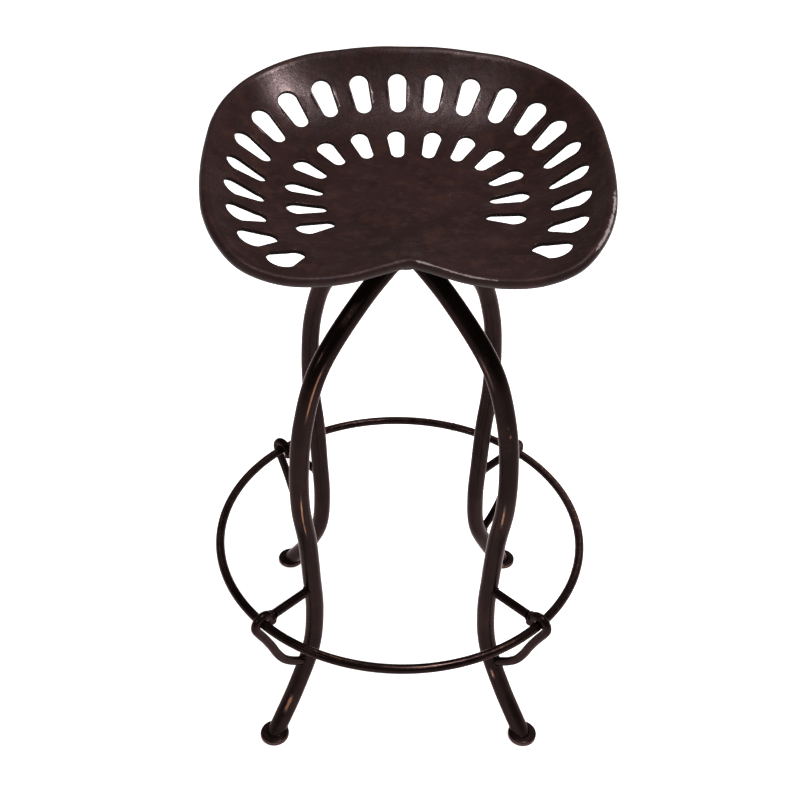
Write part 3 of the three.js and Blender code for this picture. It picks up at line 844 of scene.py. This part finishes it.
def rub_through(mesh, whereabouts, marks):
    """Notes on each place of a bar how far its lacquer is rubbed off. Each mark has a start and an end
    along the bar, a side in degrees round it, half a width in degrees and a strength."""
    wear = []
    for vertex in mesh.vertices:
        along, around = whereabouts(vertex.co)
        most = 0.0
        for start, end, side, width, strength in marks:
            if start < along < end:
                off = abs((around - side + 180) % 360 - 180) / width
                ends = min(along - start, end - along) / (0.3 * (end - start))
                most = max(most, strength * min(1.0, max(0.0, 1.5 - 1.5 * off), ends))
        wear.append(most)
    mesh.attributes.new("wear", "FLOAT", "POINT").data.foreach_set("value", wear)


# Heights of the marks on each leg, with the side counted from outwards
leg_marks = {
    "front_left": [
        (0.462, 0.545, 54, 8, 0.66), (0.300, 0.386, 57, 7, 0.58), (0.034, 0.062, 26, 15, 0.60),
        (0.560, 0.590, 20, 20, 0.40), (0.195, 0.235, -20, 16, 0.40),
    ],
    "front_right": [
        (0.078, 0.094, -60, 14, 0.55), (0.322, 0.368, -60, 10, 0.50), (0.500, 0.545, -75, 12, 0.40),
        (0.190, 0.240, 30, 16, 0.42),
    ],
    "rear_right": [(0.180, 0.250, 10, 20, 0.48), (0.420, 0.470, 20, 12, 0.42), (0.030, 0.060, -30, 18, 0.5)],
    "rear_left": [(0.200, 0.260, -15, 18, 0.48), (0.380, 0.450, 40, 10, 0.40), (0.040, 0.065, 30, 16, 0.5)],
}
for corner, degrees in corners.items():
    leg = bar(
        "leg_tube_" + corner, [turned_to(leg_line, degrees)], tube_radius, 0.004, 72,
        Hub_radius=hub_radius, Floor_cut=disc_height,
    )
    turned_back = Matrix.Rotation(-math.radians(degrees), 3, "Z")

    def on_leg(place):
        own = turned_back @ place
        return own.z, math.degrees(math.atan2(own.y, own.x - leg_reach_at(own.z)))

    rub_through(leg.data, on_leg, leg_marks[corner])
    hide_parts("leg_" + corner)
    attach(leg, "base")


# Foot discs. Turned steel discs with a rounded upper edge, flat on the floor under each leg.
disc_radius = 0.018
disc_rounding = 0.0025
disc_profile = [(0.0, 0.0), (0.0166, 0.0), (0.0176, 0.0004), (disc_radius, 0.0012)]
for step in range(9):
    turn = math.pi / 2 * step / 8
    disc_profile.append((
        disc_radius - disc_rounding + disc_rounding * math.cos(turn),
        disc_height - disc_rounding + disc_rounding * math.sin(turn),
    ))
disc_profile += [(0.0075, disc_height + 0.00005), (0.0, disc_height + 0.00005)]


def add_band(faces, below, above):
    """Faces between two rings, either of which may be a single point. They point outwards where the
    rings are listed up the outside."""
    count = max(len(below), len(above))
    for k in range(count if count > 1 else 0):
        after = (k + 1) % count
        low, low_after = below[k % len(below)], below[after % len(below)]
        high, high_after = above[k % len(above)], above[after % len(above)]
        faces.append(tuple(dict.fromkeys((low, low_after, high_after, high))))


def smooth_but(mesh, degrees):
    """Smooth shading, with the edges of more than an angle left sharp."""
    mesh.shade_smooth()
    mesh.set_sharp_from_angle(angle=math.radians(degrees))


def lathed(name, profile, material, middle=(0.0, 0.0), sides=96):
    """A closed mesh turned from a profile of radius and height, listed up the outside."""
    points, faces, before = [], [], None
    for radius, height in profile:
        ring = []
        for k in range(sides if radius else 1):
            turn = 2 * math.pi * k / sides
            ring.append(len(points))
            x, y = middle[0] + radius * math.cos(turn), middle[1] + radius * math.sin(turn)
            points.append((x, y, height))
        if before:
            add_band(faces, before, ring)
        before = ring
    mesh = bpy.data.meshes.new(name)
    mesh.from_pydata(points, [], faces)
    if profile[0][0] > 0:
        # The first and the last ring of a bored piece are one
        work = bmesh.new()
        work.from_mesh(mesh)
        bmesh.ops.remove_doubles(work, verts=work.verts, dist=1e-7)
        work.to_mesh(mesh)
        work.free()
    smooth_but(mesh, 35)
    mesh.materials.append(material)
    piece = bpy.data.objects.new(name, mesh)
    scene.collection.objects.link(piece)
    return piece


for corner, degrees in corners.items():
    turn = math.radians(degrees)
    disc = lathed(
        "foot_disc_turned_" + corner,
        disc_profile,
        frame_lacquer,
        (foot_reach * math.cos(turn), foot_reach * math.sin(turn)),
    )
    # The edge is handled and scuffed more than the flat
    edge = max(v.co.z for v in disc.data.vertices) - disc_rounding
    disc.data.attributes.new("wear", "FLOAT", "POINT").data.foreach_set(
        "value", [0.36 if abs(v.co.z - edge) < 0.0016 else 0.22 for v in disc.data.vertices]
    )
    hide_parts("foot_disc_" + corner)
    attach(disc, "base")


# Foot ring. One round rod bent to a ring and butt welded, with the lacquer rubbed off along its
# top by shoes.
rod_radius = 0.0055
ring_radius = 0.2275
ring_height = 0.209
ring_stations = 240
ring_line = []
for k in range(ring_stations):
    turn = 2 * math.pi * k / ring_stations
    ring_line.append((ring_radius * math.cos(turn), ring_radius * math.sin(turn), ring_height))
foot_ring = bar("foot_ring_rod", [ring_line], rod_radius, 0.003, 40, closed=True)


def on_ring(place):
    bearing = math.degrees(math.atan2(place.y, place.x)) % 360
    beyond = math.hypot(place.x, place.y) - ring_radius
    return bearing, math.degrees(math.atan2(place.z - ring_height, beyond))


rub_through(
    foot_ring.data,
    on_ring,
    [
        (-120, 236, 60, 120, 0.40), (304, 640, 60, 120, 0.40), (232, 308, 78, 22, 0.26),
        (238, 262, 84, 14, 0.48), (292, 308, 70, 16, 0.47), (150, 215, 80, 22, 0.40),
        (325, 388, 80, 22, 0.40), (20, 40, 85, 24, 0.42), (58, 122, 82, 20, 0.36),
        (265, 285, 60, 18, 0.46),
    ],
)
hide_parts("foot_ring")
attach(foot_ring, "base")


# Hooks. Lengths of the same rod, welded to the legs below the ring, that rise in an easy S, bend
# over the ring from outside and end inside it.
hook_rise = 0.117
hook_bend = 0.0113
hook_tail = 0.009
# Shares of the way out to the bend and of the rise
hook_shares = [
    (0, 0), (0.123, 0.077), (0.33, 0.188), (0.485, 0.3), (0.61, 0.445), (0.71, 0.6), (0.815, 0.745)
]
hook_foot = ring_height - hook_rise
hook_start = leg_reach_at(hook_foot)
way_out = ring_radius + hook_bend - hook_start
hook_places = [(hook_start + o * way_out, 0, hook_foot + up * hook_rise) for o, up in hook_shares]
for step in range(10):
    turn = math.radians(-23 + 188 * step / 9)
    reach = ring_radius + hook_bend * math.cos(turn)
    hook_places.append((reach, 0, ring_height + hook_bend * math.sin(turn)))
hook_end = math.radians(165)
reach, _, height = hook_places[-1]
hook_places.append((reach - hook_tail * math.sin(hook_end), 0, height + hook_tail * math.cos(hook_end)))
hook_line = smooth_line(hook_places, steps=6)
for corner, degrees in corners.items():
    hook = bar("ring_hook_rod_" + corner, [turned_to(hook_line, degrees)], rod_radius, 0.0016, 32)
    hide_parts("ring_hook_" + corner)
    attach(hook, "base")


# Struts. Short pieces of rod from the legs to the ends of the hooks, just above the ring.
strut_height = ring_height + 0.0037
strut_gap = 0.0012
strut_start = leg_reach_at(strut_height)
# The skin of the hook's end leans, so it is more than the rod's radius from its middle line here
hook_skin = ring_radius + hook_bend * math.cos(hook_end) - rod_radius / abs(math.cos(hook_end))
strut_end = hook_skin - strut_gap
strut_line = [Vector((strut_start, 0, strut_height)), Vector((strut_end, 0, strut_height))]
for corner, degrees in corners.items():
    strut = bar("ring_strut_rod_" + corner, [turned_to(strut_line, degrees)], rod_radius, 0.003, 32)
    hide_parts("ring_strut_" + corner)
    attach(strut, "base")


# Welds. Beads of rippled weld metal, lacquered over: round each hook's foot, round both ends of
# each strut, at each leg's foot and hub end, and where the ring's own two ends meet.
weld_gap = 0.0003


def gap_to_line(place, line):
    """How far a place is from the nearest point of a line."""
    nearest = 1.0
    for a, b in zip(line, line[1:]):
        share = max(0.0, min(1.0, (place - a).dot(b - a) / (b - a).length_squared))
        nearest = min(nearest, (place - a.lerp(b, share)).length)
    return nearest


def weld_loop(line, radius, gap, inside_at, outside_at, count=40):
    """Where a bar's skin leaves another piece, all round the bar: gap tells how far a place is from
    that piece, and the two ends of the search count along the bar's line."""
    loop = []
    side = Vector((0, 1, 0))
    for k in range(count):
        turn = 2 * math.pi * (k + 0.5) / count - math.pi
        low, high = inside_at, outside_at
        for _ in range(12):
            middle = (low + high) / 2
            i = min(int(middle), len(line) - 2)
            way = (line[i + 1] - line[i]).normalized()
            skin = side.cross(way) * math.cos(turn) + side * math.sin(turn)
            place = line[i].lerp(line[i + 1], middle - i) + skin * radius
            if gap(place) > 0:
                high = middle
            else:
                low = middle
        loop.append(place)
    return loop


strut_back = [Vector((strut_end + 0.0067, 0, strut_height)), Vector((strut_start, 0, strut_height))]
leg_foot_line = leg_line[:60]
leg_end = len(leg_line)
closed_welds = [
    weld_loop(hook_line, rod_radius, lambda p: gap_to_line(p, leg_foot_line) - tube_radius, 0, 9),
    weld_loop(strut_line, rod_radius, lambda p: gap_to_line(p, leg_line) - tube_radius, 0, 0.9),
    weld_loop(strut_back, rod_radius, lambda p: gap_to_line(p, hook_line) - rod_radius - weld_gap, 0, 0.6),
    weld_loop(leg_line, tube_radius, lambda p: p.z - disc_height - weld_gap, 0, 30, count=64),
]
hub_weld = weld_loop(
    leg_line, tube_radius, lambda p: math.hypot(p.x, p.y) - hub_radius, leg_end - 1.01, leg_end - 26, count=64
)
# The weld at the hub stops short of the washer that turns under it
hub_weld_bottom = 0.6045
hub_weld = [p for p in hub_weld if p.z > hub_weld_bottom]
ring_end = math.radians(70)
ring_weld = []
for k in range(32):
    turn = 2 * math.pi * k / 32
    reach = ring_radius + rod_radius * math.cos(turn)
    ring_weld.append((
        reach * math.cos(ring_end), reach * math.sin(ring_end), ring_height + rod_radius * math.sin(turn)
    ))
around_bars = [turned_to(line, degrees) for line in closed_welds for degrees in corners.values()]
round_hub = [turned_to(hub_weld, degrees) for degrees in corners.values()]
for name, lines, closed, thickness in (
    ("weld_beads", around_bars, True, 0.0015),
    ("hub_welds", round_hub, False, 0.0018),
    ("ring_weld", [ring_weld], True, 0.0009),
):
    beads = bar(name, lines, thickness, 0.0005, 12, closed=closed, Ripple=0.13, Ripple_length=0.0022)
    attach(beads, "base")


# Hub. A short length of thick steel tube, bored for the swivel's bushes. The four legs are coped
# round it and welded.
hub_top = 0.637
hub_bottom = 0.6025
hub_bore = 0.012
hub_outside = 0.017
hub_socket = lathed(
    "hub_socket_tube",
    [
        (hub_bore + 0.0006, hub_bottom), (hub_outside - 0.0008, hub_bottom),
        (hub_outside - 0.0002, hub_bottom + 0.0003), (hub_outside, hub_bottom + 0.0009),
        (hub_outside, hub_top - 0.0009), (hub_outside - 0.0002, hub_top - 0.0003),
        (hub_outside - 0.0008, hub_top), (hub_bore + 0.0006, hub_top), (hub_bore, hub_top - 0.0006),
        (hub_bore, hub_bottom + 0.0006), (hub_bore + 0.0006, hub_bottom),
    ],
    frame_lacquer,
)
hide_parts("hub_socket")
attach(hub_socket, "base")


# Bushes. Two flanged sleeves of bearing bronze, pressed into the hub from above and from below,
# browned by old grease.
flange_outside = 0.016
flange_thickness = 0.0016
bush_outside = 0.0117
bush_bore = 0.01035
bush_length = 0.013
bush_break = 0.0003
bush_bronze, tree, shader = new_finish("bush_bronze")
tarnish = noise_of(tree, 120.0, 6.0, 0.7, distortion=0.4, seed=2.9)
turning = noise_of(tree, 90.0, 2.0, 0.5, stretch=(1.0, 1.0, 24.0), seed=6.6)
pitting = noise_of(tree, 900.0, 3.0, 0.6, seed=4.1)
colour = blended(ranged(tarnish, 0.35, 0.68), (0.46, 0.27, 0.11), (0.20, 0.115, 0.052))
colour = blended(ranged(pitting, 0.60, 0.72, 0.0, 0.7), colour, (0.060, 0.036, 0.020))
feed(tree, shader, {
    "Base Color": colour, "Metallic": 1.0, "Roughness": ranged(tarnish, 0.3, 0.7, 0.30, 0.52),
    "Normal": bumped(pitting, 0.25, 0.00006, bumped(turning, 0.30, 0.00010)),
})
for name, face, into in (("upper_bush", 0.6389, -1), ("lower_bush", 0.6006, 1)):
    inner = face + into * flange_thickness
    tail = inner + into * bush_length
    profile = [
        (bush_bore + bush_break, face), (flange_outside - 0.0004, face),
        (flange_outside, face + into * 0.0004), (flange_outside, inner - into * bush_break),
        (flange_outside - bush_break, inner),
        (bush_outside + bush_break, inner), (bush_outside, inner + into * bush_break),
        (bush_outside, tail - into * 0.0008), (bush_outside - 0.0005, tail), (bush_bore + bush_break, tail),
        (bush_bore, tail - into * bush_break), (bush_bore, face + into * bush_break),
        (bush_bore + bush_break, face),
    ]
    bush = lathed(name + "_turned", profile if into > 0 else profile[::-1], bush_bronze)
    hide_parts(name)
    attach(bush, "base")


# Spindle. A turned steel pin, welded to the swivel plate above it, with a groove near its lower
# end for the retaining ring and a lathe centre's dimple in that end.
turned_steel, tree, shader = new_finish("turned_steel")
grease = noise_of(tree, 85.0, 6.0, 0.7, distortion=0.5, seed=3.3)
turning = noise_of(tree, 60.0, 2.0, 0.5, stretch=(1.0, 1.0, 40.0), seed=8.8)
rust = noise_of(tree, 210.0, 7.0, 0.75, distortion=0.3, seed=1.9)
colour = blended(ranged(grease, 0.35, 0.66), (0.30, 0.285, 0.27), (0.125, 0.112, 0.100))
colour = blended(ranged(rust, 0.60, 0.72, 0.0, 0.85), colour, (0.120, 0.050, 0.022))
feed(tree, shader, {
    "Base Color": colour, "Metallic": 1.0, "Roughness": ranged(grease, 0.3, 0.7, 0.28, 0.50),
    "Normal": bumped(rust, 0.35, 0.00010, bumped(turning, 0.28, 0.00008)),
})
spindle_radius = 0.010
groove_radius = 0.0085
spindle_bottom = 0.5946
spindle_top = 0.6393
groove_bottom = 0.5970
groove_top = 0.5988
groove_break = 0.0002
spindle = lathed(
    "swivel_spindle_turned",
    [
        (0.0, spindle_bottom + 0.0015), (0.0013, spindle_bottom), (spindle_radius - 0.0008, spindle_bottom),
        (spindle_radius, spindle_bottom + 0.0008), (spindle_radius, groove_bottom - groove_break),
        (spindle_radius - groove_break, groove_bottom), (groove_radius, groove_bottom),
        (groove_radius, groove_top), (spindle_radius - groove_break, groove_top),
        (spindle_radius, groove_top + groove_break), (spindle_radius, spindle_top - 0.0004),
        (spindle_radius, spindle_top), (0.0, spindle_top),
    ],
    turned_steel,
)
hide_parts("swivel_spindle")
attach(spindle, "seat")


# Washer and retaining ring. A turned steel washer under the lower bush, held up by a sprung ring
# that is pressed into the spindle's groove and is open at one side, with an eye at each end.
washer_bottom = 0.5988
washer_top = 0.6003
washer = lathed(
    "retaining_washer_turned",
    [
        (bush_bore + 0.0003, washer_bottom), (flange_outside - 0.0004, washer_bottom),
        (flange_outside, washer_bottom + 0.0004), (flange_outside, washer_top - 0.0004),
        (flange_outside - 0.0004, washer_top), (bush_bore + 0.0003, washer_top),
        (bush_bore, washer_top - 0.0003), (bush_bore, washer_bottom + 0.0003),
        (bush_bore + 0.0003, washer_bottom),
    ],
    turned_steel,
)
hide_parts("retaining_washer")
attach(washer, "seat")

clip_stations = 96
clip_sweep = 310
clip_eye = 14
clip_inside = 0.0088
clip_outside = 0.0113
clip_points, clip_faces = [], []
for k in range(clip_stations + 1):
    turn = math.radians(25 + clip_sweep * k / clip_stations)
    from_end = min(k, clip_stations - k) / clip_stations * clip_sweep
    outer = clip_outside + 0.0010 * (1 - math.cos(turn)) / 2
    if from_end < clip_eye:
        eye = math.sqrt(max(0.0, 1 - (from_end / (clip_eye / 2) - 1) ** 2))
        outer = max(outer, clip_outside + 0.0017 * eye)
    for radius, height in (
        (clip_inside, 0.5974), (clip_inside + 0.0002, 0.5973), (outer - 0.0002, 0.5973), (outer, 0.5975),
        (outer, 0.5983), (outer - 0.0002, 0.5985), (clip_inside + 0.0002, 0.5985), (clip_inside, 0.5984),
    ):
        clip_points.append((radius * math.cos(turn), radius * math.sin(turn), height))
for k in range(clip_stations):
    for j in range(8):
        a, b = 8 * k + j, 8 * k + (j + 1) % 8
        clip_faces.append((a, a + 8, b + 8, b))
clip_faces.append(tuple(range(8)))
clip_faces.append(tuple(8 * clip_stations + j for j in reversed(range(8))))
clip_mesh = bpy.data.meshes.new("retaining_ring_sprung")
clip_mesh.from_pydata(clip_points, [], clip_faces)
smooth_but(clip_mesh, 35)
clip_mesh.materials.append(turned_steel)
retaining_ring = bpy.data.objects.new("retaining_ring_sprung", clip_mesh)
scene.collection.objects.link(retaining_ring)
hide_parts("retaining_ring")
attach(retaining_ring, "seat")


# Swivel plate. A round steel plate with turned edges, drilled for four screws and lacquered like
# the legs, which the seat's pad lies on.
plate_radius = 0.060
plate_bottom = 0.6392
plate_top = 0.6452
screw_circle = 0.045


def four_corners(tree, circle, height):
    """Four places at the corners of the frame, on a circle at one height."""
    ring = node_in(tree, "GeometryNodeMeshCircle", {"Vertices": 4, "Radius": circle})
    return node_in(tree, "GeometryNodeTransform", {
        "Geometry": ring.outputs[0],
        "Rotation": (0, 0, math.pi / 4),
        "Translation": place_of(tree, 0.0, 0.0, height),
    }).outputs[0]


tree, asked = new_tree("drilled_plate", "Plate", ["Hole radius", "Hole circle", "Height"], "Drilled")
drilled_plate = tree
drill = {"Vertices": 48, "Depth": 0.03, "Radius": asked["Hole radius"]}
drills = node_in(tree, "GeometryNodeInstanceOnPoints", {
    "Points": four_corners(tree, asked["Hole circle"], asked["Height"]),
    "Instance": node_in(tree, "GeometryNodeMeshCylinder", drill).outputs["Mesh"],
})
drills = node_in(tree, "GeometryNodeRealizeInstances", {0: drills.outputs[0]})
holes = node_in(
    tree, "GeometryNodeMeshBoolean", {"Mesh 1": asked["Plate"], "Mesh 2": drills.outputs[0]},
    operation="DIFFERENCE", solver="EXACT",
)
end_tree(tree, asked, holes.outputs["Mesh"])

round_plate = lathed(
    "swivel_plate_blank",
    [
        (0.0, plate_bottom), (plate_radius - 0.0010, plate_bottom),
        (plate_radius - 0.0003, plate_bottom + 0.0003), (plate_radius, plate_bottom + 0.0010),
        (plate_radius, plate_top - 0.0010), (plate_radius - 0.0003, plate_top - 0.0003),
        (plate_radius - 0.0010, plate_top), (0.0, plate_top),
    ],
    frame_lacquer,
)
swivel_plate = made_by(
    drilled_plate,
    "swivel_plate_drilled",
    round_plate.data,
    {"Hole radius": 0.0044, "Hole circle": screw_circle, "Height": plate_bottom, "Finish": frame_lacquer},
)
bpy.data.objects.remove(round_plate)
smooth_but(swivel_plate.data, 35)
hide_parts("swivel_plate")
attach(swivel_plate, "seat")


# Seat screws. Four hex screws, zinc plated and dulled, that pass up through the plate into the
# pad. Their heads have the turned chamfer and the round bearing face of a rolled screw.
head_top = 0.6389
head_bottom = 0.6336
thread_top = 0.6460
corner_reach = 0.0075
chamfer_radius = 0.0058
bearing_radius = 0.0060
shank_radius = 0.0040
screw_sides = 72
sixth = math.radians(60)
flat_reach = corner_reach * math.cos(sixth / 2)
screw_points, screw_faces, before = [], [], None
for kind, radius, height in (
    ("round", 0.0, head_bottom), ("round", chamfer_radius, head_bottom),
    ("chamfer", corner_reach, head_bottom), ("hex", corner_reach, head_top - 0.0005),
    ("round", bearing_radius, head_top - 0.0004), ("round", bearing_radius, plate_bottom),
    ("round", shank_radius, plate_bottom), ("round", shank_radius, thread_top),
    ("round", 0.0, thread_top),
):
    ring = []
    for k in range(screw_sides if radius else 1):
        turn = 2 * math.pi * k / screw_sides
        hex_radius = flat_reach / math.cos((turn + sixth / 2) % sixth - sixth / 2)
        reach = radius if kind == "round" else hex_radius
        up = height
        if kind == "chamfer":
            up += (hex_radius - chamfer_radius) * math.tan(math.radians(30))
        ring.append(len(screw_points))
        screw_points.append((reach * math.cos(turn), reach * math.sin(turn), up))
    if before:
        add_band(screw_faces, before, ring)
    before = ring
one_screw = bpy.data.meshes.new("one_screw")
one_screw.from_pydata(screw_points, [], screw_faces)
smooth_but(one_screw, 24)

tree, asked = new_tree("four_screws", "Screw", ["Circle"], "Screws")
screw_turns = node_in(tree, "FunctionNodeRandomValue", {2: 0.0, 3: 2 * math.pi, "Seed": 5}, data_type="FLOAT")
screws = node_in(tree, "GeometryNodeInstanceOnPoints", {
    "Points": four_corners(tree, asked["Circle"], 0.0),
    "Instance": asked["Screw"],
    "Rotation": place_of(tree, 0.0, 0.0, screw_turns.outputs[1]),
})
end_tree(tree, asked, screws.outputs[0])
seat_screws = made_by(tree, "seat_screws_hex", one_screw, {"Circle": screw_circle, "Finish": turned_steel})
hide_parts("seat_screw_1", "seat_screw_2", "seat_screw_3", "seat_screw_4")
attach(seat_screws, "seat")
